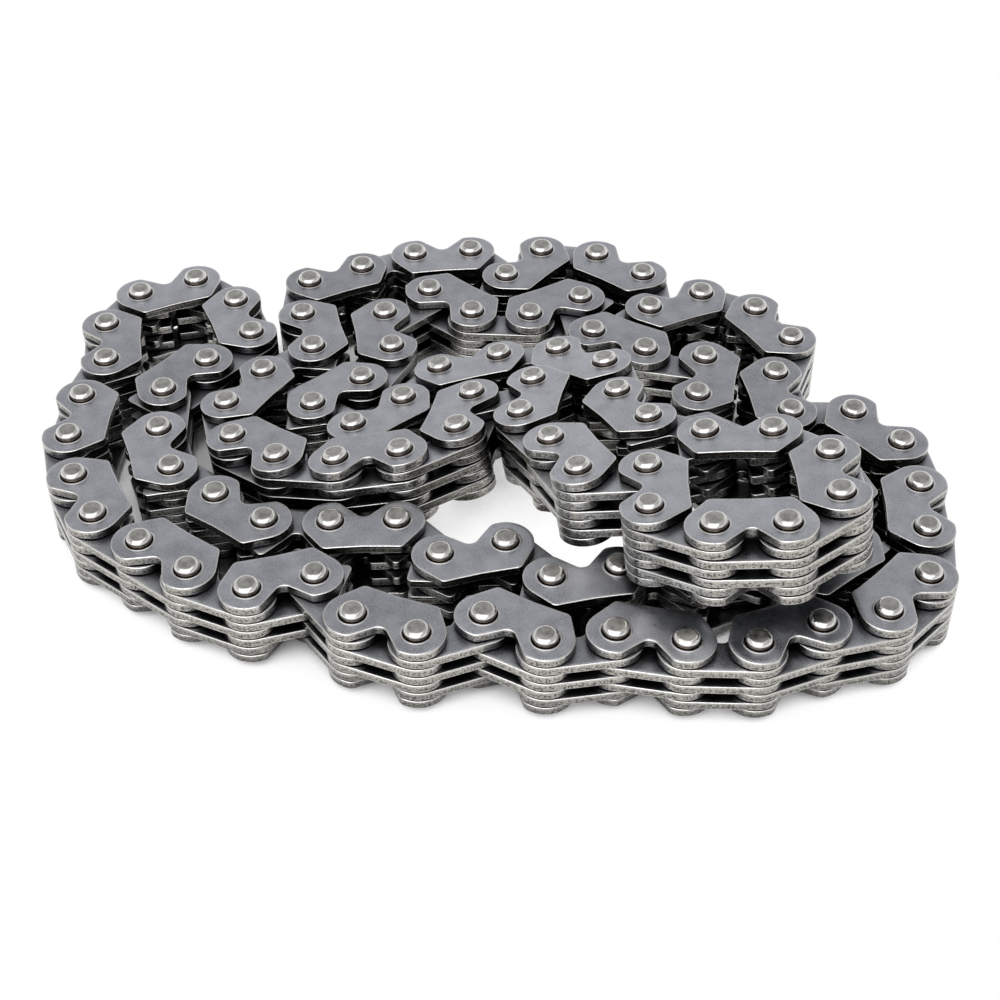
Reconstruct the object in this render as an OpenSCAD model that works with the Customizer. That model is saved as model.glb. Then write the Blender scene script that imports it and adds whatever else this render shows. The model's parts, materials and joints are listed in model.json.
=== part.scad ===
// Silent timing chain: an endless toothed-link chain laid on its side in a loose coil.
// Millimetres, +Z up. The ends of the pins stand on z = 0, and X runs along the long side of the coil.

/* [Chain] */
// Distance between neighbouring pins
pitch = 6.35; // [6.35:0.05:9.5]
// Running clearance between a pin and the hole of a plate that turns on it
running_gap = 0.1; // [0.04:0.01:0.1]
// Clearance of a hole that is pressed on its pin
press_gap = 0.02; // [0.01:0.005:0.03]
// Clearance of the pin at the one pivot where the loop can be parted
parting_gap = 0.35; // [0.1:0.05:0.4]

/* [Plates] */
// Thickness of each plate
plate_t = 0.93; // [0.6:0.01:1.2]
// Gap between one plate and the next along a pin
plate_gap = 0.11; // [0.05:0.01:0.15]
// Radius of the round end of a plate about its pin
lobe_r = 2.7; // [2.4:0.01:2.8]

/* [Teeth] */
// Height of the tooth tips above the line of the pins
tooth_h = 3.78; // [3:0.02:3.9]
// Distance between the middles of the two tooth tips
tooth_spread = 6.1; // [5.4:0.1:6.3]
// Radius of a tooth tip
tip_r = 0.54; // [0.3:0.02:0.6]
// Height of the bottom of the crotch between two teeth above the line of the pins
crotch_h = 0.76; // [0:0.02:1.2]
// Radius of the crotch between two teeth
crotch_r = 0.76; // [0.5:0.02:1]

/* [Guide plates] */
// Height of the straight edge of a guide plate above the line of the pins
guide_h = 3.74; // [3:0.02:3.9]
// Distance between the middles of the two corner radii
corner_spread = 6.8; // [5.4:0.1:6.9]
// Radius of the two corners
corner_r = 0.7; // [0.3:0.02:0.9]
// Radius of the notch in the back of a guide plate
notch_r = 0.9; // [0.7:0.02:1.4]
// Depth of the middle of the notch below the line of the pins
notch_drop = 0.6; // [0.2:0.02:0.8]
// Radius of the lip on either side of the notch
lip_r = 0.64; // [0.4:0.02:0.8]
// Distance between the middles of the two lips
lip_spread = 5.4; // [5:0.1:5.8]

/* [Pins] */
// Diameter of a pin
pin_d = 2.44; // [2:0.02:2.6]
// How far a pin stands out past each guide plate
pin_stand = 0.8; // [0.4:0.05:1]
// Bevel round each end of a pin
pin_bevel = 0.26; // [0.1:0.02:0.36]

/* [Raised end loop] */
// Height that the raised end loop keeps above the strand beneath it
rest_gap = 0.3; // [0.2:0.05:1]
// Distance, in pitches, over which the raised end loop climbs by one chain width
climb_run = 4.9; // [4.7:0.1:5.1]
// Compass direction in which the raised end loop climbs, from +X
climb_heading = -45; // [-50:1:-40]
// How much of the slope is lost again at the nose of the raised end loop
nose_level = 0.6; // [0.5:0.02:0.9]

/* [Hidden] */
$fn = 48;

// Seven plates are laced on each pin: guide, link, mid, link, mid, link, guide
layer = plate_t + plate_gap;
GUIDE_LAYERS = [-3, 3];
MID_LAYERS = [-1, 1];
LINK_LAYERS = [-2, 0, 2];
pin_l = 7 * plate_t + 6 * plate_gap + 2 * pin_stand;
pin_r = pin_d / 2;

// Heading of each link in degrees as the chain lies, in walking order round the loop.
// The first of each pair is a guide link and the second is the link plates after it.
LIE = [
    // Round the eye at the far left and down the left side
    [-157, -117], [-82, -104], [-93, -76], [-64, -38], [-38, -25], [15, -54],
    // Along the near side and round the right end
    [-23, 20], [-30, 8], [-12, -3], [21, 13], [45, 81], [86, 96], [129, 178],
    // Back along the far side
    [97, 68], [120, 152], [203, 93], [141, 170], [230, 129], [185, 202], [205, 268],
    // Into the middle, where the raised end loop starts to climb
    [284, 220], [239, 283], [319, 345], [1, 28], [77, 10],
    // Round the raised end loop
    [257, 296], [292, 353], [267, 327], [355, 35], [90, 135], [170, 142], [115, 98], [138, 175],
    // Down again and back through the middle
    [190, 234], [219, 136], [40, 64], [99, 42], [318, 355], [28, 280], [328, 346],
    // The inner strand under the raised loop and back to the eye
    [258, 262], [325, 0], [285, 271], [217, 140], [204, 186], [191, 131], [194, 131],
    [181, 176], [143, 140], [108, 93], [51, 48], [111, 140]];
PAIRS = len(LIE);
LINKS = 2 * PAIRS;
HEADINGS = [for (pair = LIE) each pair];

// Where the first pin stands, in pitches from the middle of the coil
START = [-5.093, 4.097];

// Numbers of the guide links between which the raised loop gains and loses its slope
RISE = [19.3, 25.2];
FALL = [31.2, 36.6];
NOSE = [28.2, 4.5];
slope = (pin_l + rest_gap) / (climb_run * pitch);

// The pair that is drawn piece by piece, and the pair whose link plates hold the parting pivot
FIRST_PAIR = 18;
PARTING_PAIR = 44;

function len2(v) = sqrt(v * v);
function unit(v) = v / len2(v);
function clamp(x) = min(1, max(0, x));

// Share of the full slope that a guide link has
function share(k) = clamp(min((k - RISE[0]) / (RISE[1] - RISE[0]), (FALL[1] - k) / (FALL[1] - FALL[0])))
    * (1 - nose_level * clamp(1 - abs(k - NOSE[0]) / NOSE[1]));
function guide_grade(k) = slope * share(k) * [cos(climb_heading), sin(climb_heading)];
GRADES = [for (k = [0 : PAIRS - 1])
    each [guide_grade(k), (guide_grade(k) + guide_grade((k + 1) % PAIRS)) / 2]];

// One step along the chain, in pitches, on ground that has the link's own grade
function step(i, a) = unit([cos(a), sin(a), GRADES[i] * [cos(a), sin(a)]]);
function side_step(i, a) = [-sin(a), cos(a), GRADES[i] * [-sin(a), cos(a)]];
function total(list, n, i = 0, sum = [0, 0, 0]) = i == n ? sum : total(list, n, i + 1, sum + list[i]);

// The loop is closed by the smallest turns of the links that bring the last pin back to the first
function det(a, b, c) = a * cross(b, c);
function solve3(m, v) = [
    det(v, m[1], m[2]), det(m[0], v, m[2]), det(m[0], m[1], v)] / det(m[0], m[1], m[2]);
function closed(angles, rounds) = rounds == 0 ? angles :
    let (
        miss = total([for (i = [0 : LINKS - 1]) step(i, angles[i])], LINKS),
        sides = [for (i = [0 : LINKS - 1]) side_step(i, angles[i])],
        square = [for (r = [0 : 2]) [for (c = [0 : 2]) [for (s = sides) s[r] * s[c]] * [for (s = sides) 1]]],
        pull = solve3(square, miss))
    closed([for (i = [0 : LINKS - 1]) angles[i] - (sides[i] * pull) * 180 / PI], rounds - 1);
CLOSING_ROUNDS = 5;
TURNS = closed(HEADINGS, CLOSING_ROUNDS);
STEPS = [for (i = [0 : LINKS - 1]) pitch * step(i, TURNS[i])];

// Middle of each pin, half a pin above the ground and then on along the chain
first_pin = [START[0] * pitch, START[1] * pitch, pin_l / 2];
PINS = [for (i = 0, p = first_pin; i < LINKS; p = p + STEPS[i], i = i + 1) p];

// Frame of a link: X along it, Y to its tooth side, Z along its pins
module at_link(i) {
    x = unit(STEPS[i]);
    z = unit([-GRADES[i][0], -GRADES[i][1], 1]);
    y = cross(z, x);
    o = PINS[i] + STEPS[i] / 2;
    multmatrix([[x[0], y[0], z[0], o[0]], [x[1], y[1], z[1], o[1]], [x[2], y[2], z[2], o[2]], [0, 0, 0, 1]])
        children();
}

// Points where a line touches two circles; side is 1 to pass left of both, and cross_over swaps at b
function touch(a, ra, b, rb, side, cross_over = 1) =
    let (
        d = b - a,
        lean = acos((ra - cross_over * rb) / len2(d)),
        out = atan2(d[1], d[0]) + side * lean,
        n = [cos(out), sin(out)])
    [a + ra * n, b + cross_over * rb * n];
function flip(p) = [-p[0], p[1]];
function mirrored(points) = concat(points, [for (i = [len(points) - 1 : -1 : 0]) flip(points[i])]);

PIN_POINT = [pitch / 2, 0];

// Outline of a toothed plate: two teeth on one side and a straight back
module toothed_outline() {
    tip = [tooth_spread / 2, tooth_h - tip_r];
    crotch = [0, crotch_h + crotch_r];
    flank = touch(PIN_POINT, lobe_r, tip, tip_r, -1);
    inner = touch(tip, tip_r, crotch, crotch_r, -1, -1);
    difference() {
        union() {
            polygon(mirrored([[PIN_POINT[0], -lobe_r], flank[0], flank[1], tip, inner[0], inner[1]]));
            for (s = [-1, 1]) {
                translate([s * PIN_POINT[0], 0]) circle(lobe_r);
                translate([s * tip[0], tip[1]]) circle(tip_r);
            }
        }
        translate(crotch) circle(crotch_r);
    }
}

// Outline of a guide plate: a straight edge with two corners, and a notch in its back
module guide_outline() {
    corner = [corner_spread / 2, guide_h - corner_r];
    lip = [lip_spread / 2, lip_r - lobe_r];
    notch = [0, -notch_drop - notch_r];
    flank = touch(PIN_POINT, lobe_r, corner, corner_r, -1);
    mouth = touch(lip, lip_r, notch, notch_r, 1, -1);
    difference() {
        union() {
            polygon(mirrored([mouth[1], mouth[0], lip, [lip[0], -lobe_r], [PIN_POINT[0], -lobe_r],
                flank[0], flank[1], [corner[0], guide_h]]));
            for (s = [-1, 1]) {
                translate([s * PIN_POINT[0], 0]) circle(lobe_r);
                translate([s * corner[0], corner[1]]) circle(corner_r);
                translate([s * lip[0], lip[1]]) circle(lip_r);
            }
        }
        translate(notch) circle(notch_r);
    }
}

// A plate cut from an outline, with a hole for each of its two pins
module plate(level, gap_a, gap_b) {
    translate([0, 0, level * layer - plate_t / 2])
        linear_extrude(plate_t)
            difference() {
                children();
                translate([-pitch / 2, 0]) circle(pin_r + gap_a);
                translate([pitch / 2, 0]) circle(pin_r + gap_b);
            }
}

module guide_plate(k, level)
    color([0.56, 0.57, 0.59]) at_link(2 * k) plate(level, press_gap, press_gap) guide_outline();

module mid_plate(k, level)
    color([0.5, 0.51, 0.53]) at_link(2 * k) plate(level, running_gap, running_gap) toothed_outline();

module link_plate(k, level)
    color([0.46, 0.47, 0.49]) at_link(2 * k + 1)
        plate(level, running_gap, k == PARTING_PAIR ? parting_gap : running_gap) toothed_outline();

// A pin is a rod with a bevel round each end
module pin(k, s)
    color([0.7, 0.7, 0.69]) at_link(2 * k) translate([s * pitch / 2, 0, 0])
        rotate_extrude()
            polygon([[0, -pin_l / 2], [pin_r - pin_bevel, -pin_l / 2], [pin_r, pin_bevel - pin_l / 2],
                [pin_r, pin_l / 2 - pin_bevel], [pin_r - pin_bevel, pin_l / 2], [0, pin_l / 2]]);

// One guide link with its two pins and the three link plates that follow it
module link_pair(k) {
    for (level = GUIDE_LAYERS) guide_plate(k, level);
    for (level = MID_LAYERS) mid_plate(k, level);
    for (level = LINK_LAYERS) link_plate(k, level);
    for (s = [-1, 1]) pin(k, s);
}

function pair_name(k) = str("link_pair_", k < 10 ? "0" : "", k);
FIRST_PIECES = ["top_guide_plate", "bottom_guide_plate", "upper_mid_plate", "lower_mid_plate",
    "top_link_plate", "middle_link_plate", "bottom_link_plate", "leading_pin", "trailing_pin"];
OTHER_PAIRS = [for (k = [0 : PAIRS - 1]) if (k != FIRST_PAIR) k];

guide_plate(FIRST_PAIR, GUIDE_LAYERS[1]);  // top_guide_plate
guide_plate(FIRST_PAIR, GUIDE_LAYERS[0]);  // bottom_guide_plate
mid_plate(FIRST_PAIR, MID_LAYERS[1]);  // upper_mid_plate
mid_plate(FIRST_PAIR, MID_LAYERS[0]);  // lower_mid_plate
link_plate(FIRST_PAIR, LINK_LAYERS[2]);  // top_link_plate
link_plate(FIRST_PAIR, LINK_LAYERS[1]);  // middle_link_plate
link_plate(FIRST_PAIR, LINK_LAYERS[0]);  // bottom_link_plate
pin(FIRST_PAIR, -1);  // leading_pin
pin(FIRST_PAIR, 1);  // trailing_pin
for (k = OTHER_PAIRS)
    link_pair(k);
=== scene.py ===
"""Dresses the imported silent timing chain: guide plates, toothed plates and riveted pins in worn steel."""

import json
import math
from typing import NamedTuple

import bpy
import numpy as np
from bpy.props import FloatProperty, FloatVectorProperty, IntProperty, PointerProperty
from mathutils import Matrix, Vector
from mathutils.geometry import tessellate_polygon

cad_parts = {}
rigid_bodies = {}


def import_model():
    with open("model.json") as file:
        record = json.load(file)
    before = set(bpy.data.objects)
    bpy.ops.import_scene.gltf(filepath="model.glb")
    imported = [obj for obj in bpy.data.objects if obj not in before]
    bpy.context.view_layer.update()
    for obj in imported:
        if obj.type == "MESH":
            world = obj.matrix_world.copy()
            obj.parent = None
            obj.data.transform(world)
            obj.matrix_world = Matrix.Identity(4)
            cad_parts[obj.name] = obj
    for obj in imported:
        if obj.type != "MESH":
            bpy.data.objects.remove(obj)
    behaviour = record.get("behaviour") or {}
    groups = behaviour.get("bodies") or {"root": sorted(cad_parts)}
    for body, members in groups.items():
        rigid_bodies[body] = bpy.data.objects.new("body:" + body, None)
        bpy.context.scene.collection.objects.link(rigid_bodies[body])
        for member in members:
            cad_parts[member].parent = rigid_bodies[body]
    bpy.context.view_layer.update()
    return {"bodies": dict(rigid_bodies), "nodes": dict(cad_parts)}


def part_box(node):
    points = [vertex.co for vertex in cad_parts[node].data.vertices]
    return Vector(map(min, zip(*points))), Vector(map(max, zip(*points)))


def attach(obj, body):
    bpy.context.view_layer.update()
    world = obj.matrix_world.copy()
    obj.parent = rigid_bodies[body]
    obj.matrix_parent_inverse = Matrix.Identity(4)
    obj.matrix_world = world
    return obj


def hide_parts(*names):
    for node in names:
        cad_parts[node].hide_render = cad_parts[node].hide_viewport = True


bl_info = {
    "name": "Silent timing chain",
    "version": (1, 0, 0),
    "blender": (4, 5, 0),
    "location": "3D View > Sidebar > Chain",
    "description": "Plates, pins and studio of a silent timing chain lying in a loose coil",
    "category": "Object",
}

MM = 0.001

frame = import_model()

# The pair whose nine pieces are nodes of their own; every other pair is one node
NAMED_PAIR = 18
# The pair whose link plates turn on the slack bore of the parting pivot
PARTING_PAIR = 44
PAIRS = len(frame["bodies"])

# Layers of the plates along a pin, counted from the middle one
GUIDE_LAYERS = {"guide_plate_bottom": -3, "guide_plate_top": 3}
MID_LAYERS = {"mid_plate_lower": -1, "mid_plate_upper": 1}
LINK_LAYERS = {"link_plate_bottom": -2, "link_plate_middle": 0, "link_plate_top": 2}
CAD_NAMES = {
    "guide_plate_bottom": "bottom_guide_plate",
    "guide_plate_top": "top_guide_plate",
    "mid_plate_lower": "lower_mid_plate",
    "mid_plate_upper": "upper_mid_plate",
    "link_plate_bottom": "bottom_link_plate",
    "link_plate_middle": "middle_link_plate",
    "link_plate_top": "top_link_plate",
}


# Sizes read from the frame


def box_of(node):
    """Middle and size of a CAD node's box."""
    low, high = (np.array(corner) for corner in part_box(node))
    return (low + high) / 2, high - low


LEADING_MID, PIN_SIZE = box_of("leading_pin")
TRAILING_MID, _ = box_of("trailing_pin")
TOP_MID, TOP_SIZE = box_of("top_guide_plate")
BOTTOM_MID, _ = box_of("bottom_guide_plate")
PITCH = float(np.linalg.norm(TRAILING_MID - LEADING_MID))
PIN_R = float(PIN_SIZE[0]) / 2
PIN_L = float(PIN_SIZE[2])
PLATE_T = float(TOP_SIZE[2])
LAYER = float(TOP_MID[2] - BOTTOM_MID[2]) / 6


def metres(name, words, millimetres, low, high):
    """A length that the user can change in the sidebar."""
    return FloatProperty(
        name=name,
        description=words,
        default=millimetres * MM,
        min=low * MM,
        max=high * MM,
        precision=5,
        unit="LENGTH",
        subtype="DISTANCE",
    )


def colour(name, words, value):
    """A colour that the user can change in the sidebar."""
    return FloatVectorProperty(
        name=name,
        description=words,
        default=value,
        size=3,
        min=0,
        max=1,
        subtype="COLOR",
    )


class ChainPlateSizes(bpy.types.PropertyGroup):
    """Outlines and edges of the plates."""

    lobe_r: metres("Lobe radius", "Radius of the round end of a plate about its pin", 2.7, 2.4, 2.8)
    tooth_h: metres("Tooth height", "Tooth tips above the line of the pins", 3.78, 3.0, 3.9)
    tooth_spread: metres("Tooth spread", "Distance between the two tooth tips", 6.1, 5.4, 6.3)
    tip_r: metres("Tip radius", "Radius of a tooth tip", 0.54, 0.3, 0.6)
    crotch_h: metres("Crotch height", "Bottom of the crotch above the line of the pins", 0.76, 0.0, 1.2)
    crotch_r: metres("Crotch radius", "Radius of the crotch between two teeth", 0.76, 0.5, 1.0)
    guide_h: metres("Guide height", "Straight edge of a guide plate above the pins", 3.74, 3.0, 3.9)
    corner_spread: metres("Corner spread", "Distance between the two corner radii", 6.8, 5.4, 6.9)
    corner_r: metres("Corner radius", "Radius of the two corners of a guide plate", 0.7, 0.3, 0.9)
    hollow_r: metres("Hollow radius", "Radius of a guide plate's hollow long edge", 36.0, 34.0, 90.0)
    hollow: metres("Hollow depth", "Depth of the hollow in the long edge", 0.15, 0.0, 0.15)
    notch_r: metres("Notch radius", "Radius of the notch in a guide plate", 0.9, 0.7, 1.4)
    notch_drop: metres("Notch drop", "Middle of the notch below the line of the pins", 0.6, 0.2, 0.8)
    lip_r: metres("Lip radius", "Radius of the lip on either side of the notch", 1.0, 0.4, 1.2)
    lip_spread: metres("Lip spread", "Distance between the two lips", 5.8, 5.0, 6.0)
    press_gap: metres("Press gap", "Clearance of a hole pressed on its pin", 0.02, 0.01, 0.03)
    running_gap: metres("Running gap", "Clearance of a hole that turns on its pin", 0.1, 0.04, 0.1)
    parting_gap: metres("Parting gap", "Clearance at the pivot where the loop parts", 0.35, 0.1, 0.4)
    edge_r: metres("Edge rounding", "Rounding of a plate's stamped edge", 0.085, 0.03, 0.2)
    bore_edge_r: metres("Bore edge rounding", "Rounding of the edge of a bore", 0.15, 0.03, 0.2)
    ridge_w: metres("Bore ridge", "Width of the ridge raised round a bore", 0.18, 0.1, 0.4)
    ridge_h: metres("Bore ridge height", "Height of the ridge round a bore", 0.034, 0.0, 0.04)
    roll_w: metres("Die roll", "Width of the soft roll inside an edge", 0.34, 0.1, 0.6)
    roll_h: metres("Die roll depth", "Drop of the face at its edge", 0.028, 0.0, 0.05)


class ChainPinSizes(bpy.types.PropertyGroup):
    """Ends of the pins."""

    shoulder_w: metres("Shoulder width", "Width of the rounded shoulder of a pin's end", 0.4, 0.1, 0.5)
    shoulder_h: metres("Shoulder height", "Height of the rounded shoulder", 0.38, 0.1, 0.5)
    crown: metres("Crown", "Rise of the middle of a pin's end over its shoulder", 0.05, 0.0, 0.1)
    segments: IntProperty(
        name="Segments", description="Flats round a pin", default=44, min=16, max=96
    )


class ChainColours(bpy.types.PropertyGroup):
    """Colours of the steel and of the studio."""

    face: colour("Face", "Stamped faces of the plates", (0.495, 0.51, 0.556))
    burnished: colour("Burnished", "Rounded edges rubbed bright", (0.8, 0.79, 0.77))
    wall: colour("Sheared wall", "Smooth upper band of a sheared wall", (0.55, 0.53, 0.495))
    torn: colour("Torn band", "Rough lower band of a sheared wall", (0.47, 0.45, 0.415))
    pit: colour("Pits", "Dark pits in the rough band", (0.035, 0.032, 0.03))
    # Painted shade: a near-black mixed into the steel where nearby pieces hide the sky, standing in for the
    # shade deep in the gaps
    painted_gap_shade: colour("Grime", "Old oil held in the gaps", (0.028, 0.028, 0.03))
    pin_end: colour("Pin end", "Flat end of a pin", (0.5, 0.488, 0.462))
    # Painted highlight and painted shade: the polished shoulder of a pin is near white to stand in for its
    # bright highlight, and its straight side dark brown to stand in for the dark plates that it reflects
    pin_shoulder: colour("Pin shoulder", "Rounded shoulder of a pin", (0.93, 0.915, 0.89))
    pin_side: colour("Pin side", "Straight side of a pin", (0.13, 0.105, 0.09))
    floor: colour("Floor", "Plain floor", (0.95, 0.95, 0.95))


# Where each link lies, read from the pins of the frame


def unit(v):
    """A vector brought to length 1."""
    return v / np.linalg.norm(v)


def loose_solids(node):
    """Triangle corners of each separate solid in a CAD node, as arrays of n x 3 x 3."""
    mesh = frame["nodes"][node].data
    mesh.calc_loop_triangles()
    points = np.empty(len(mesh.vertices) * 3, np.float32)
    mesh.vertices.foreach_get("co", points)
    corners = np.empty(len(mesh.loop_triangles) * 3, np.int32)
    mesh.loop_triangles.foreach_get("vertices", corners)
    places, place = np.unique(points.reshape(-1, 3), axis=0, return_inverse=True)
    corners = place.reshape(-1)[corners].reshape(-1, 3)
    label = np.arange(len(places))
    while True:
        lowest = label.copy()
        np.minimum.at(lowest, corners.ravel(), np.repeat(label[corners].min(axis=1), 3))
        lowest = lowest[lowest]
        if (lowest == label).all():
            break
        label = lowest
    owner = label[corners[:, 0]]
    return [places[corners[owner == one]].astype(float) for one in np.unique(owner)]


def middle_and_axes(corners):
    """Centre of a solid, and its spread along its main axes with those axes, the longest last."""
    base = corners.mean(axis=(0, 1))
    a, b, c = np.moveaxis(corners - base, 1, 0)
    cells = np.einsum("ij,ij->i", a, np.cross(b, c))
    total = a + b + c
    middle = (cells[:, None] * total).sum(axis=0) / (4 * cells.sum())
    square = sum(np.einsum("i,ij,ik->jk", cells, v, v) for v in (a, b, c, total))
    spread, axes = np.linalg.eigh(square / (20 * cells.sum()) - np.outer(middle, middle))
    return base + middle, spread, axes


# A solid whose spread across its longest axis stays under this share of the spread along it is a pin
PIN_SPREAD = 0.15


def pins_of(nodes):
    """Middle and upward axis of each pin among the solids of some nodes."""
    found = []
    for node in nodes:
        for corners in loose_solids(node):
            middle, spread, axes = middle_and_axes(corners)
            if spread[1] < PIN_SPREAD * spread[2]:
                found.append((middle, axes[:, 2] * np.sign(axes[2, 2])))
    return found


def cad_nodes(k):
    """The CAD nodes of one pair."""
    if k == NAMED_PAIR:
        return list(CAD_NAMES.values()) + ["leading_pin", "trailing_pin"]
    return [f"link_pair_{k:02d}"]


def read_pins():
    """The two pins of every pair in walking order: [(first, second)], each a middle and an axis."""
    pairs = [pins_of(cad_nodes(k)) for k in range(PAIRS)]
    if any(len(pins) != 2 for pins in pairs):
        raise RuntimeError("a pair without two pins: the frame isn't the chain's")
    first = min(pairs[NAMED_PAIR], key=lambda pin: np.linalg.norm(pin[0] - LEADING_MID))
    ordered = {NAMED_PAIR: sorted(pairs[NAMED_PAIR], key=lambda pin: pin is not first)}
    for step in range(1, PAIRS):
        k = (NAMED_PAIR + step) % PAIRS
        before = ordered[(k - 1) % PAIRS][1][0]
        ordered[k] = sorted(pairs[k], key=lambda pin: abs(np.linalg.norm(pin[0] - before) - PITCH))
    return [ordered[k] for k in range(PAIRS)]


def grade(axis):
    """How steeply the ground of a pin with this axis rises along X and along Y."""
    return -axis[:2] / axis[2]


def placed(start, end, ground):
    """Frame of a link: X along it, Y to its tooth side, Z along its pins, origin halfway."""
    up = unit(np.array([-ground[0], -ground[1], 1.0]))
    along = end - start
    along = unit(along - up * (along @ up))
    frame_matrix = np.eye(4)
    frame_matrix[:3, 0] = along
    frame_matrix[:3, 1] = np.cross(up, along)
    frame_matrix[:3, 2] = up
    frame_matrix[:3, 3] = (start + end) / 2
    return frame_matrix


PINS = read_pins()
GRADES = [(grade(first[1]) + grade(second[1])) / 2 for first, second in PINS]
GUIDE_FRAMES = [
    placed(first[0], second[0], ground) for (first, second), ground in zip(PINS, GRADES)
]
LINK_FRAMES = [
    placed(
        PINS[k][1][0],
        PINS[(k + 1) % PAIRS][0][0],
        (GRADES[k] + GRADES[(k + 1) % PAIRS]) / 2,
    )
    for k in range(PAIRS)
]


# Outlines: closed runs of tangent circles, each (x, y, radius, 1 outside or -1 hollow), anticlockwise

ARC_STEP = math.radians(9)


def outline(circles):
    """Points and outward normals round an outline."""
    count = len(circles)
    headings = []
    for i, (xa, ya, ra, sa) in enumerate(circles):
        xb, yb, rb, sb = circles[(i + 1) % count]
        dx, dy = xb - xa, yb - ya
        headings.append(math.atan2(dy, dx) + math.asin((sa * ra - sb * rb) / math.hypot(dx, dy)))
    points, normals = [], []
    for i, (x, y, r, s) in enumerate(circles):
        start = headings[i - 1] - math.pi / 2
        turn = s * ((s * (headings[i] - headings[i - 1])) % math.tau)
        steps = max(2, math.ceil(abs(turn) / ARC_STEP))
        for j in range(steps + 1):
            angle = start + turn * j / steps
            normal = (math.cos(angle), math.sin(angle))
            points.append((x + s * r * normal[0], y + s * r * normal[1]))
            normals.append(normal)
    return np.array(points), np.array(normals)


def hole(x, r, steps=32):
    """Points and normals round a hole, clockwise, the normals towards its middle."""
    angles = -np.arange(steps) * math.tau / steps
    rim = np.stack([np.cos(angles), np.sin(angles)], axis=1)
    return np.array([x, 0.0]) + r * rim, -rim


def toothed_outline(s):
    """Outline of a mid or link plate: two round ends, two teeth and the crotch between them."""
    tip = (s.tooth_spread / 2, s.tooth_h - s.tip_r, s.tip_r, 1)
    crotch = (0, s.crotch_h + s.crotch_r, s.crotch_r, -1)
    return outline(
        [
            (-PITCH / 2, 0, s.lobe_r, 1),
            (PITCH / 2, 0, s.lobe_r, 1),
            tip,
            crotch,
            (-tip[0],) + tip[1:],
        ]
    )


def guide_outline(s):
    """Outline of a guide plate: two round ends, a notch between two lips and a hollow long edge."""
    corner = (s.corner_spread / 2, s.guide_h - s.corner_r, s.corner_r, 1)
    lip = (s.lip_spread / 2, s.lip_r - s.lobe_r, s.lip_r, 1)
    notch = (0, -s.notch_drop - s.notch_r, s.notch_r, -1)
    hollow = (0, s.guide_h - s.hollow + s.hollow_r, s.hollow_r, -1)
    return outline(
        [
            (-PITCH / 2, 0, s.lobe_r, 1),
            (-lip[0],) + lip[1:],
            notch,
            lip,
            (PITCH / 2, 0, s.lobe_r, 1),
            corner,
            hollow,
            (-corner[0],) + corner[1:],
        ]
    )


# Shapes: vertices and normals in a link's own frame, faces with the number of their material

FACE, RIM, WALL = range(3)
END, SIDE = range(2)


class Shape:
    """A closed solid being put together ring by ring."""

    def __init__(self):
        self.points, self.normals, self.worn = [], [], []
        self.faces, self.kinds = [], []

    def ring(self, points, outward, height, lean, side, worn):
        """Points at one height over (side 1) or under (side -1) the middle; gives their numbers.

        The normals lean from straight up, or straight down, towards the outward directions.
        """
        start = len(self.points)
        column = np.ones((len(points), 1))
        self.points.extend(np.hstack([points, side * height * column]))
        self.normals.extend(np.hstack([math.sin(lean) * outward, side * math.cos(lean) * column]))
        self.worn.extend([worn] * len(points))
        return list(range(start, start + len(points)))

    def band(self, upper, lower, kind):
        """Faces between two rings, with the outside to the right of their direction."""
        for i, a in enumerate(upper):
            b = upper[(i + 1) % len(upper)]
            self.faces.append((a, lower[i], lower[(i + 1) % len(lower)], b))
            self.kinds.append(kind)

    def cap(self, rings, facing, kind):
        """A flat face bounded by an outer ring and by the rings of its holes."""
        order = [i for ring in rings for i in ring]
        loops = [[Vector(self.points[i]) for i in ring] for ring in rings]
        for triangle in tessellate_polygon(loops):
            a, b, c = (order[i] for i in triangle)
            pa, pb, pc = (self.points[i] for i in (a, b, c))
            area = (pb[0] - pa[0]) * (pc[1] - pa[1]) - (pb[1] - pa[1]) * (pc[0] - pa[0])
            self.faces.append((a, b, c) if area * facing > 0 else (a, c, b))
            self.kinds.append(kind)

    def arrays(self):
        return np.array(self.points), np.array(self.normals), np.array(self.worn)


class Edge(NamedTuple):
    """How the face of a plate goes over into a wall."""

    radius: float
    # Inset, fall and lean of each ring on the face before the rounding
    run: list
    # Fall of the face where the rounding starts, and the least lean from there on
    drop: float
    least_lean: float
    # Bands between rings that still belong to the face
    face_bands: int


def rolled(sizes):
    """Flat face that runs down in a soft roll to an outer edge."""
    flat = (sizes.edge_r + sizes.roll_w, 0.0, 0.0)
    lean = math.atan2(2 * sizes.roll_h, sizes.roll_w)
    return Edge(sizes.edge_r, [flat], sizes.roll_h, lean, 1)


def ridged(sizes):
    """Flat face that rises to the low ridge that pressing leaves round a bore."""
    start, width, height = sizes.bore_edge_r, sizes.ridge_w, sizes.ridge_h
    slope = math.atan2(1.5 * height, width)
    # The face leaves the flat a ridge width off the bore's edge and is steepest halfway
    run = [
        (start + 1.5 * width, 0.0, 0.0),
        (start + width, 0.0, -0.3 * slope),
        (start + 0.5 * width, -0.55 * height, -1.6 * slope),
    ]
    return Edge(start, run, -height, 0.0, 2)


# Turns in degrees at which a rounding has a ring
EDGE_TURNS = (0, 35, 65, 90)
SHOULDER_TURNS = (0, 15, 32, 50, 70, 90)
# Shares of its radius at which the crowned end of a pin has a ring
CROWN_SHARES = (0.25, 0.6, 0.85)


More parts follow.
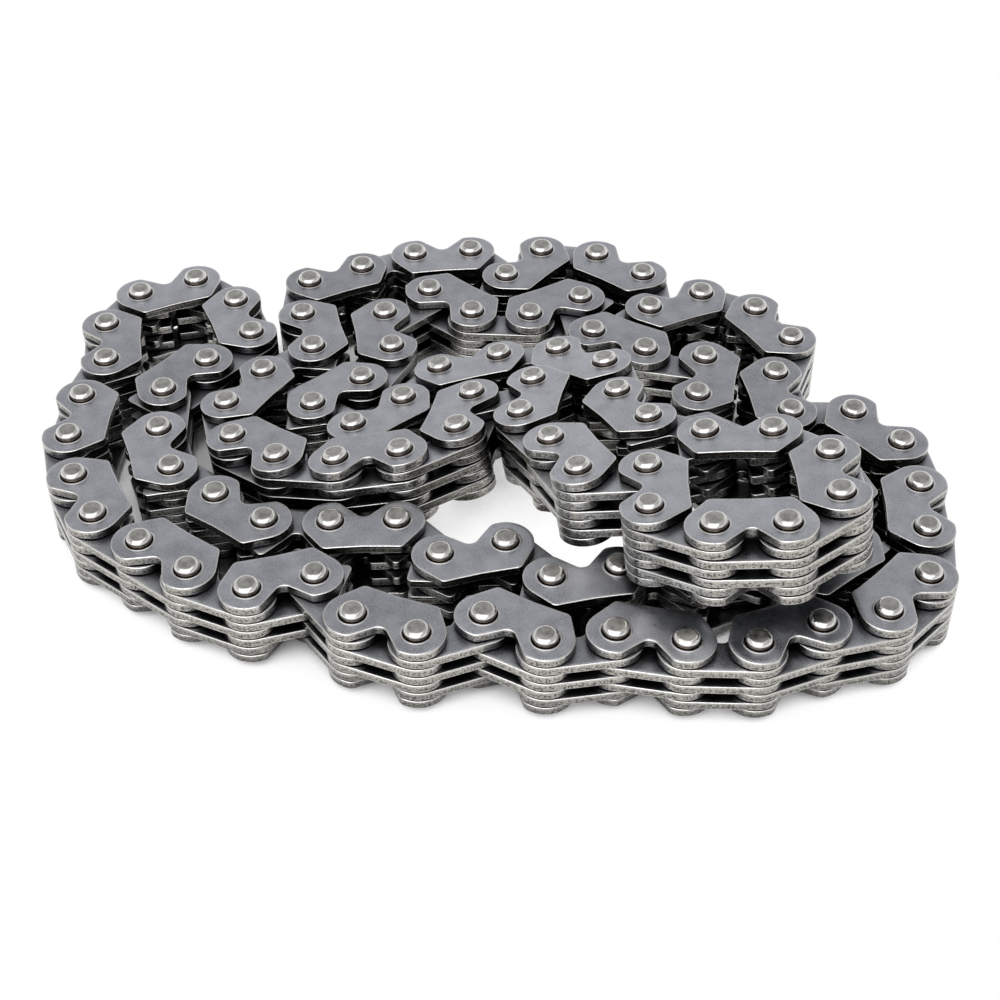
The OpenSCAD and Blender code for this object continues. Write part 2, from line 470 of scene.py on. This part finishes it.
def edge_rings(shape, points, outward, edge, side):
    """Rings of one edge of a plate from the flat of its face out to its wall."""
    profile = [(inset, fall, lean, 0.0) for inset, fall, lean in edge.run]
    for degrees in EDGE_TURNS:
        turn = math.radians(degrees)
        inset = edge.radius * (1 - math.sin(turn))
        fall = edge.drop + edge.radius * (1 - math.cos(turn))
        profile.append((inset, fall, max(turn, edge.least_lean), 1.0))
    return [
        shape.ring(points - inset * outward, outward, PLATE_T / 2 - fall, lean, side, worn)
        for inset, fall, lean, worn in profile
    ]


def plate_shape(outer, bore_a, bore_b, sizes):
    """A stamped plate with two bores, rolled edges and sheared walls."""
    shape = Shape()
    loops = [(outer, rolled(sizes))]
    loops += [(hole(x, r), ridged(sizes)) for x, r in ((-PITCH / 2, bore_a), (PITCH / 2, bore_b))]
    tops, bottoms = [], []
    for (points, outward), edge in loops:
        top = edge_rings(shape, points, outward, edge, 1)
        bottom = edge_rings(shape, points, outward, edge, -1)
        rings = top + bottom[::-1]
        side_kinds = [FACE] * edge.face_bands + [RIM] * (len(top) - 1 - edge.face_bands)
        kinds = side_kinds + [WALL] + side_kinds[::-1]
        for upper, lower, kind in zip(rings, rings[1:], kinds):
            shape.band(upper, lower, kind)
        tops.append(top[0])
        bottoms.append(bottom[0])
    shape.cap(tops, 1, FACE)
    shape.cap(bottoms, -1, FACE)
    return shape


def pin_profile(sizes):
    """Radius, fall, lean and wear of the rings of a pin's end, from its middle out; on a pin the wear marks
    the shoulder, which carries a painted highlight.
    """
    flat_r = PIN_R - sizes.shoulder_w
    profile = []
    for share in CROWN_SHARES:
        lean = math.atan2(2 * sizes.crown * share, flat_r)
        profile.append((share * flat_r, sizes.crown * share**2, lean, 0.0))
    least_lean = math.atan2(2 * sizes.crown, flat_r)
    for degrees in SHOULDER_TURNS:
        turn = math.radians(degrees)
        across, down = sizes.shoulder_w * math.sin(turn), sizes.shoulder_h * (1 - math.cos(turn))
        lean = math.atan2(sizes.shoulder_h * math.sin(turn), sizes.shoulder_w * math.cos(turn))
        # A wear of 1 marks the shoulder, which gets the painted highlight; the straight side gets 0 and the
        # painted shade
        worn = 0.0 if degrees == 90 else 1.0
        profile.append((flat_r + across, sizes.crown + down, max(least_lean, lean), worn))
    return profile


def pin_shape(sizes):
    """A riveted pin: faintly crowned ends, rounded shoulders and a straight side."""
    shape = Shape()
    angles = np.arange(sizes.segments) * math.tau / sizes.segments
    rim = np.stack([np.cos(angles), np.sin(angles)], axis=1)
    profile = pin_profile(sizes)
    rings = [
        shape.ring(r * rim, rim, PIN_L / 2 - fall, lean, side, worn)
        for side in (1, -1)
        for r, fall, lean, worn in profile[::side]
    ]
    ends = [END] * len(CROWN_SHARES)
    kinds = ends + [SIDE] * (len(rings) - 1 - 2 * len(ends)) + ends
    for upper, lower, kind in zip(rings, rings[1:], kinds):
        shape.band(upper, lower, kind)
    shape.cap([rings[0]], 1, END)
    shape.cap([rings[-1]], -1, END)
    return shape


# Pieces: shapes set in their places, joined in one mesh

# Millimetres by which the finish of a part is shifted at most, so that no two parts wear alike
WEAR_SHIFT = 400
# First seeds of the finish
PLATE_SEED, PIN_SEED, NAMED_PLATE_SEED, NAMED_PIN_SEED = 100, 300, 900, 950


def piece(name, parts, materials, seed):
    """One mesh from (shape, 4 x 4 frame) parts, in the row frame, with the finish of each part."""
    draw = np.random.default_rng(seed)
    points, normals, local, finish, faces, kinds = [], [], [], [], [], []
    start = 0
    for shape, matrix in parts:
        own, own_normals, worn = shape.arrays()
        points.append(own @ matrix[:3, :3].T + matrix[:3, 3])
        normals.append(own_normals @ matrix[:3, :3].T)
        local.append(own / MM + draw.uniform(-WEAR_SHIFT, WEAR_SHIFT, 3) * (1, 1, 0))
        tone = np.full(len(own), draw.uniform(0, 1))
        finish.append(np.stack([worn, tone, own[:, 2] / PLATE_T], axis=1))
        faces.extend(tuple(start + i for i in face) for face in shape.faces)
        kinds.extend(shape.kinds)
        start += len(own)
    mesh = bpy.data.meshes.new(name)
    mesh.from_pydata(np.concatenate(points).tolist(), [], faces)
    mesh.polygons.foreach_set("material_index", np.array(kinds, np.int32))
    mesh.polygons.foreach_set("use_smooth", np.ones(len(kinds), bool))
    for key, rows in (("plate_point", local), ("finish", finish)):
        layer = mesh.attributes.new(key, "FLOAT_VECTOR", "POINT")
        layer.data.foreach_set("vector", np.concatenate(rows).astype(np.float32).ravel())
    for material in materials:
        mesh.materials.append(material)
    mesh.update()
    mesh.normals_split_custom_set_from_vertices(np.concatenate(normals).tolist())
    obj = bpy.data.objects.new(name, mesh)
    bpy.context.scene.collection.objects.link(obj)
    return obj


def lifted(matrix, height):
    """A link's frame moved along its own pins."""
    moved = matrix.copy()
    moved[:3, 3] += matrix[:3, 2] * height
    return moved


def shifted(matrix, along):
    """A link's frame moved along the link."""
    moved = matrix.copy()
    moved[:3, 3] += matrix[:3, 0] * along
    return moved


def dress(obj, k, nodes):
    """Ties an object to its body and the CAD nodes that it stands for."""
    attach(obj, f"pair_{k:02d}")
    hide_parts(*nodes)


# Materials

# Millimetres within which a neighbour darkens a plate or a pin's side with painted shade
PLATE_REACH = 5.0
PIN_REACH = 3.0


def add(tree, kind, inputs=None, **settings):
    """A node with its settings, and its inputs either set or linked."""
    made = tree.nodes.new(kind)
    for key, value in settings.items():
        setattr(made, key, value)
    for key, value in (inputs or {}).items():
        if isinstance(value, bpy.types.NodeSocket):
            tree.links.new(value, made.inputs[key])
        else:
            made.inputs[key].default_value = value
    return made


class Steel:
    """A steel material: node tree, plate coordinates in millimetres and the finish of the mesh."""

    def __init__(self, name):
        self.material = bpy.data.materials.new(name)
        self.material.use_nodes = True
        self.tree = self.material.node_tree
        self.bsdf = self.tree.nodes["Principled BSDF"]
        self.bsdf.inputs["Metallic"].default_value = 1.0
        self.point = self.add(
            "ShaderNodeAttribute", attribute_name="plate_point"
        ).outputs["Vector"]
        marks = self.add("ShaderNodeAttribute", attribute_name="finish")
        split = self.add("ShaderNodeSeparateXYZ", {"Vector": marks.outputs["Vector"]})
        self.worn, self.tone, self.level = split.outputs

    def add(self, kind, inputs=None, **settings):
        return add(self.tree, kind, inputs, **settings)

    def math(self, operation, a, b=0.5, c=0.5):
        """The result of one sum on values or sockets."""
        return self.add("ShaderNodeMath", {0: a, 1: b, 2: c}, operation=operation).outputs[0]

    def span(self, value, low, high, to_low=0.0, to_high=1.0):
        """A value stretched from one range to another and kept inside it."""
        return self.add(
            "ShaderNodeMapRange",
            {"Value": value, "From Min": low, "From Max": high, "To Min": to_low, "To Max": to_high},
        ).outputs["Result"]

    def sway(self, noise, low, high):
        """A noise, which mostly keeps between 0.3 and 0.7, made to sway between two values."""
        return self.span(noise, 0.3, 0.7, low, high)

    def noise(self, scale, detail=3.0, roughness=0.5, stretch=(1, 1, 1), turn=0.0):
        """Noise in cells of about 1 / scale millimetres, stretched along a turned axis."""
        place = self.add(
            "ShaderNodeMapping",
            {"Vector": self.point, "Rotation": (0, 0, turn), "Scale": stretch},
        )
        return self.add(
            "ShaderNodeTexNoise",
            {
                "Vector": place.outputs["Vector"],
                "Scale": scale,
                "Detail": detail,
                "Roughness": roughness,
            },
        ).outputs["Fac"]

    def mix(self, factor, a, b, blend="MIX"):
        """Two colours mixed, each a plain colour or a socket."""
        node = self.add("ShaderNodeMix", data_type="RGBA", blend_type=blend)
        for key, value in ((0, factor), (6, a), (7, b)):
            if isinstance(value, bpy.types.NodeSocket):
                self.tree.links.new(value, node.inputs[key])
            elif key:
                node.inputs[key].default_value = (*value, 1.0)
            else:
                node.inputs[key].default_value = value
        return node.outputs[2]

    def scaled(self, base, factor):
        """A colour made lighter or darker by a factor."""
        grey = self.add("ShaderNodeCombineColor", {0: factor, 1: factor, 2: factor})
        return self.mix(1.0, base, grey.outputs[0], blend="MULTIPLY")

    def gaps(self, reach, low, high):
        """1 deep in a gap and 0 in the open, by how much of the sky is hidden within reach; the mask of the
        painted shade.
        """
        sky = self.add("ShaderNodeAmbientOcclusion", {"Distance": reach * MM}, samples=6)
        return self.span(sky.outputs["AO"], low, high, 1.0, 0.0)

    def bump(self, height, distance, normal=None):
        """A bump of so many micrometres."""
        inputs = {"Height": height, "Distance": distance * MM * MM, "Strength": 1.0}
        if normal is not None:
            inputs["Normal"] = normal
        return self.add("ShaderNodeBump", inputs).outputs["Normal"]

    def finish(self, base, roughness, normal):
        """The material with its three outcomes linked."""
        for key, value in (("Base Color", base), ("Roughness", roughness), ("Normal", normal)):
            self.tree.links.new(value, self.bsdf.inputs[key])
        return self.material


def face_steel(colours):
    """Satin stamped face: fine grain, faint crossed scratches, cloudy oxide, brighter near its edges."""
    m = Steel("plate_face_steel")
    grain = m.noise(6.5, detail=5.0, roughness=0.7)
    cloud = m.noise(0.45, detail=4.0, roughness=0.6)
    long_marks = m.noise(1.0, detail=4.0, roughness=0.6, stretch=(0.5, 12.0, 1.0), turn=0.5)
    cross_marks = m.noise(1.0, detail=3.0, roughness=0.6, stretch=(9.0, 0.35, 1.0), turn=0.2)
    scratches = m.math("MAXIMUM", m.span(long_marks, 0.62, 0.72), m.span(cross_marks, 0.64, 0.74))
    lightness = m.math("ADD", m.sway(cloud, -0.16, 0.14), m.span(m.tone, 0, 1, 0.87, 1.1))
    lightness = m.math("ADD", lightness, m.sway(grain, -0.24, 0.24))
    base = m.scaled(colours.face, lightness)
    rubbed = m.math("MULTIPLY", m.span(m.worn, 0.45, 1.0), m.span(grain, 0.35, 0.6, 0.35, 1.0))
    base = m.mix(m.math("MULTIPLY", rubbed, 0.25), base, colours.burnished)
    base = m.mix(m.math("MULTIPLY", scratches, 0.24), base, colours.burnished)
    # Painted shade: the face goes near-black where neighbouring pieces hide the sky
    base = m.mix(m.gaps(PLATE_REACH, 0.2, 0.7), base, colours.painted_gap_shade)
    roughness = m.math("ADD", m.sway(cloud, 0.27, 0.36), m.sway(grain, -0.06, 0.06))
    roughness = m.math("SUBTRACT", roughness, m.math("MULTIPLY", scratches, 0.08))
    normal = m.bump(grain, 7.0)
    normal = m.bump(scratches, -2.5, normal=normal)
    return m.finish(base, roughness, normal)


def rim_steel(colours):
    """Rounded stamped edge, rubbed bright, with small nicks."""
    m = Steel("plate_rim_steel")
    nicks = m.noise(4.0, detail=4.0, roughness=0.7)
    grain = m.noise(16.0, detail=3.0, roughness=0.6)
    dull = m.span(nicks, 0.56, 0.7)
    base = m.mix(dull, colours.burnished, colours.torn)
    # Painted shade: the rim goes near-black where neighbouring pieces hide the sky
    base = m.mix(m.gaps(PLATE_REACH, 0.2, 0.7), base, colours.painted_gap_shade)
    roughness = m.math("ADD", m.span(nicks, 0.35, 0.7, 0.2, 0.38), m.sway(grain, -0.04, 0.04))
    normal = m.bump(nicks, 6.0)
    normal = m.bump(grain, 2.0, normal=normal)
    return m.finish(base, roughness, normal)


def wall_steel(colours):
    """Sheared wall: a smooth band above, a torn band with dark pits below."""
    m = Steel("plate_wall_steel")
    waver = m.noise(1.3, detail=2.0)
    height = m.math("ADD", m.level, m.sway(waver, -0.08, 0.08))
    torn = m.span(height, 0.2, 0.06)
    streaks = m.noise(1.0, detail=3.0, roughness=0.6, stretch=(6.0, 6.0, 0.8))
    specks = m.noise(4.6, detail=2.0, roughness=0.6, stretch=(1.0, 1.0, 1.2))
    line = m.math("MULTIPLY", m.span(height, -0.5, -0.3), m.span(height, 0.3, 0.1))
    pits = m.math("MULTIPLY", m.span(specks, 0.49, 0.57), line)
    base = m.mix(torn, colours.wall, colours.torn)
    base = m.scaled(base, m.sway(streaks, 0.72, 1.18))
    base = m.mix(m.math("MULTIPLY", pits, 0.8), base, colours.pit)
    # Painted shade: the wall goes near-black where neighbouring pieces hide the sky
    base = m.mix(m.gaps(PLATE_REACH, 0.42, 0.93), base, colours.painted_gap_shade)
    roughness = m.math("ADD", m.span(torn, 0, 1, 0.2, 0.3), m.sway(specks, -0.05, 0.05))
    normal = m.bump(streaks, 5.0)
    normal = m.bump(m.math("MULTIPLY", specks, torn), -24.0, normal=normal)
    return m.finish(base, roughness, normal)


def pin_end_steel(colours):
    """Flat end of a pin: dull, slightly mottled, with the marks of riveting."""
    m = Steel("pin_end_steel")
    blotch = m.noise(1.4, detail=4.0, roughness=0.6)
    grain = m.noise(14.0, detail=4.0, roughness=0.6)
    lightness = m.math("ADD", m.sway(blotch, 0.66, 1.18), m.sway(grain, -0.06, 0.06))
    base = m.scaled(colours.pin_end, lightness)
    roughness = m.math("ADD", m.sway(blotch, 0.26, 0.38), m.sway(grain, -0.04, 0.04))
    normal = m.bump(blotch, 8.0)
    normal = m.bump(grain, 2.5, normal=normal)
    return m.finish(base, roughness, normal)


def pin_side_steel(colours):
    """Shoulder and side of a pin: polished, with fine drawn lines along it, and a painted highlight on the
    shoulder and painted shade on the side.
    """
    m = Steel("pin_side_steel")
    drawn = m.noise(1.0, detail=3.0, roughness=0.6, stretch=(16.0, 16.0, 0.8))
    blotch = m.noise(2.2, detail=3.0)
    wobble = m.noise(1.1, detail=2.0)
    # Painted highlight and painted shade: the wear mark picks the near-white shoulder colour over the dark
    # side colour
    base = m.mix(m.worn, colours.pin_side, colours.pin_shoulder)
    base = m.scaled(base, m.sway(blotch, 0.88, 1.08))
    # Painted shade: the pin goes near-black where the plates close by hide the sky
    base = m.mix(m.gaps(PIN_REACH, 0.05, 0.4), base, colours.painted_gap_shade)
    roughness = m.math("ADD", m.sway(blotch, 0.1, 0.2), m.sway(drawn, -0.03, 0.03))
    normal = m.bump(wobble, 60.0)
    normal = m.bump(drawn, 1.5, normal=normal)
    return m.finish(base, roughness, normal)


def floor_material(colours):
    """Plain pale board that goes over into the white backdrop where nothing stands close to it."""
    material = bpy.data.materials.new("floor_board")
    material.use_nodes = True
    tree = material.node_tree
    bsdf = tree.nodes["Principled BSDF"]
    bsdf.inputs["Roughness"].default_value = 0.9
    bsdf.inputs["Specular IOR Level"].default_value = 0.0
    bsdf.inputs["Base Color"].default_value = (*colours.floor, 1.0)
    place = add(tree, "ShaderNodeTexCoord")
    tooth = add(
        tree, "ShaderNodeTexNoise", {"Vector": place.outputs["Object"], "Scale": FLOOR_TOOTH_SCALE}
    )
    relief = add(
        tree, "ShaderNodeBump", {"Height": tooth.outputs["Fac"], "Distance": FLOOR_TOOTH * MM}
    )
    tree.links.new(relief.outputs["Normal"], bsdf.inputs["Normal"])
    sky = add(tree, "ShaderNodeAmbientOcclusion", {"Distance": FLOOR_REACH * MM}, samples=8)
    low, high = FLOOR_SKY
    open_floor = add(
        tree, "ShaderNodeMapRange", {"Value": sky.outputs["AO"], "From Min": low, "From Max": high}
    )
    seen = add(
        tree,
        "ShaderNodeMath",
        {0: open_floor.outputs["Result"], 1: rays_seen(tree)},
        operation="MULTIPLY",
    )
    backdrop = add(tree, "ShaderNodeEmission", {"Strength": 1.0})
    blend = add(
        tree,
        "ShaderNodeMixShader",
        {0: seen.outputs[0], 1: bsdf.outputs["BSDF"], 2: backdrop.outputs["Emission"]},
    )
    tree.links.new(blend.outputs["Shader"], tree.nodes["Material Output"].inputs["Surface"])
    return material


def rays_seen(tree):
    """1 for rays from the camera, and for those that metal and glass send on, else 0."""
    path = add(tree, "ShaderNodeLightPath")
    shown = path.outputs["Is Camera Ray"]
    for key in ("Is Glossy Ray", "Is Transmission Ray"):
        larger = add(tree, "ShaderNodeMath", {0: shown, 1: path.outputs[key]}, operation="MAXIMUM")
        shown = larger.outputs[0]
    return shown


# Studio, in millimetres, degrees and watts
FLOOR_HALF = 2500.0
FLOOR_Z = -0.04
# Tooth of the board: depth, and cells in a metre
FLOOR_TOOTH = 0.01
FLOOR_TOOTH_SCALE = 900.0
# The floor keeps its shadow where the chain within reach leaves less of the sky than the first share,
# and is the plain backdrop where it leaves more than the second
FLOOR_REACH = 9.0
FLOOR_SKY = (0.15, 0.42)
# Share of its brightness with which the studio lights the chain
WORLD_FILL = 0.7
# Grey of the studio by the height of the direction, 0 level and 1 straight up: a white backdrop, grey
# walls, and a darker ceiling above them
CEILING = [
    (0.0, 1.0),
    (0.07, 0.92),
    (0.16, 0.5),
    (0.3, 0.62),
    (0.48, 0.7),
    (0.6, 0.56),
    (0.74, 0.38),
    (0.86, 0.42),
    (1.0, 0.5),
]
# Name, place, width and power of each square lamp; each looks at the origin
LAMPS = [
    ("key_lamp", (-110.0, -300.0, 340.0), 560.0, 1.6),
    ("top_lamp", (-60.0, -40.0, 480.0), 440.0, 0.4),
]
# The camera looks from this distance and angle over the floor at this point
CAMERA_AIM = (1.33, -12.65, 8.77)
CAMERA_DISTANCE = 171.68
CAMERA_UP = math.radians(41.92)
CAMERA_ROLL = math.radians(-0.86)
CAMERA_LENS = 64.6


# Operators


class CHAIN_OT_plates(bpy.types.Operator):
    """Guide plates and toothed plates of every pair of links"""

    bl_idname = "chain.plates"
    bl_label = "Plates"

    def execute(self, context):
        scene = context.scene
        sizes, colours = scene.chain_plates, scene.chain_colours
        pressed, running, parting = (
            PIN_R + gap for gap in (sizes.press_gap, sizes.running_gap, sizes.parting_gap)
        )
        guide = plate_shape(guide_outline(sizes), pressed, pressed, sizes)
        mid = plate_shape(toothed_outline(sizes), running, running, sizes)
        parted = plate_shape(toothed_outline(sizes), running, parting, sizes)
        steels = [face_steel(colours), rim_steel(colours), wall_steel(colours)]
        for k in range(PAIRS):
            link = parted if k == PARTING_PAIR else mid
            parts = {}
            for layers, shape, frames in (
                (GUIDE_LAYERS, guide, GUIDE_FRAMES),
                (MID_LAYERS, mid, GUIDE_FRAMES),
                (LINK_LAYERS, link, LINK_FRAMES),
            ):
                for name, layer in layers.items():
                    parts[name] = (shape, lifted(frames[k], layer * LAYER))
            if k == NAMED_PAIR:
                for i, (name, part) in enumerate(parts.items()):
                    obj = piece(name, [part], steels, NAMED_PLATE_SEED + i)
                    dress(obj, k, [CAD_NAMES[name]])
            else:
                obj = piece(f"plates_{k:02d}", list(parts.values()), steels, PLATE_SEED + k)
                dress(obj, k, cad_nodes(k))
        return {"FINISHED"}


class CHAIN_OT_pins(bpy.types.Operator):
    """The two riveted pins of every pair of links"""

    bl_idname = "chain.pins"
    bl_label = "Pins"

    def execute(self, context):
        scene = context.scene
        shape = pin_shape(scene.chain_pins)
        steels = [pin_end_steel(scene.chain_colours), pin_side_steel(scene.chain_colours)]
        for k in range(PAIRS):
            first, second = (
                (shape, shifted(GUIDE_FRAMES[k], side * PITCH / 2)) for side in (-1, 1)
            )
            if k == NAMED_PAIR:
                for i, (name, part) in enumerate((("leading", first), ("trailing", second))):
                    obj = piece(f"pin_{name}", [part], steels, NAMED_PIN_SEED + i)
                    dress(obj, k, [f"{name}_pin"])
            else:
                obj = piece(f"pins_{k:02d}", [first, second], steels, PIN_SEED + k)
                dress(obj, k, cad_nodes(k))
        return {"FINISHED"}


class CHAIN_OT_stage(bpy.types.Operator):
    """Plain pale floor, soft studio light and the camera"""

    bl_idname = "chain.stage"
    bl_label = "Stage"

    def execute(self, context):
        scene = context.scene
        self.floor(scene)
        self.world(scene)
        for name, place, size, power in LAMPS:
            self.lamp(scene, name, Vector(place) * MM, size * MM, power)
        self.camera(scene)
        scene.view_settings.view_transform = "Standard"
        return {"FINISHED"}

    def floor(self, scene):
        half, z = FLOOR_HALF * MM, FLOOR_Z * MM
        mesh = bpy.data.meshes.new("floor")
        corners = [(-half, -half, z), (half, -half, z), (half, half, z), (-half, half, z)]
        mesh.from_pydata(corners, [], [(0, 1, 2, 3)])
        mesh.materials.append(floor_material(scene.chain_colours))
        obj = bpy.data.objects.new("floor", mesh)
        scene.collection.objects.link(obj)

    def world(self, scene):
        """White where the camera and the metal look at it, and softer where it only lights."""
        world = bpy.data.worlds.new("studio")
        scene.world = world
        world.use_nodes = True
        tree = world.node_tree
        background = tree.nodes["Background"]
        strength = add(
            tree,
            "ShaderNodeMapRange",
            {"Value": rays_seen(tree), "To Min": WORLD_FILL, "To Max": 1.0},
        )
        direction = add(tree, "ShaderNodeTexCoord")
        height = add(tree, "ShaderNodeSeparateXYZ", {"Vector": direction.outputs["Generated"]})
        ramp = add(tree, "ShaderNodeValToRGB", {"Fac": height.outputs["Z"]})
        stops = ramp.color_ramp.elements
        for place, _ in CEILING[1:-1]:
            stops.new(place)
        for stop, (_, grey) in zip(stops, CEILING):
            stop.color = (grey, grey, grey, 1.0)
        tree.links.new(ramp.outputs["Color"], background.inputs["Color"])
        tree.links.new(strength.outputs["Result"], background.inputs["Strength"])

    def lamp(self, scene, name, place, size, power):
        data = bpy.data.lights.new(name, "AREA")
        data.shape = "SQUARE"
        data.size = size
        data.energy = power
        obj = bpy.data.objects.new(name, data)
        scene.collection.objects.link(obj)
        obj.location = place
        obj.rotation_euler = (-place).to_track_quat("-Z", "Y").to_euler()

    def camera(self, scene):
        data = bpy.data.cameras.new("camera")
        data.sensor_width = 36.0
        data.lens = CAMERA_LENS
        data.clip_start = 1 * MM
        data.clip_end = 10.0
        obj = bpy.data.objects.new("camera", data)
        scene.collection.objects.link(obj)
        back = Vector((0, -math.cos(CAMERA_UP), math.sin(CAMERA_UP)))
        eye = (Vector(CAMERA_AIM) + back * CAMERA_DISTANCE) * MM
        obj.matrix_world = (
            Matrix.Translation(eye)
            @ Matrix.Rotation(math.pi / 2 - CAMERA_UP, 4, "X")
            @ Matrix.Rotation(CAMERA_ROLL, 4, "Z")
        )
        scene.camera = obj


class CHAIN_PT_panel(bpy.types.Panel):
    """Buttons and sizes of the chain"""

    bl_label = "Silent timing chain"
    bl_space_type = "VIEW_3D"
    bl_region_type = "UI"
    bl_category = "Chain"

    def draw(self, context):
        for operator in OPERATORS:
            self.layout.operator(operator.bl_idname)
        for group in (context.scene.chain_plates, context.scene.chain_pins, context.scene.chain_colours):
            column = self.layout.column(align=True)
            for key in group.__annotations__:
                column.prop(group, key)


OPERATORS = (CHAIN_OT_plates, CHAIN_OT_pins, CHAIN_OT_stage)
CLASSES = (ChainPlateSizes, ChainPinSizes, ChainColours) + OPERATORS + (CHAIN_PT_panel,)


def register():
    for cls in CLASSES:
        bpy.utils.register_class(cls)
    bpy.types.Scene.chain_plates = PointerProperty(type=ChainPlateSizes)
    bpy.types.Scene.chain_pins = PointerProperty(type=ChainPinSizes)
    bpy.types.Scene.chain_colours = PointerProperty(type=ChainColours)


def unregister():
    for key in ("chain_plates", "chain_pins", "chain_colours"):
        delattr(bpy.types.Scene, key)
    for cls in reversed(CLASSES):
        bpy.utils.unregister_class(cls)


def main():
    register()
    bpy.ops.chain.plates()
    bpy.ops.chain.pins()
    bpy.ops.chain.stage()


if __name__ == "__main__":
    main()
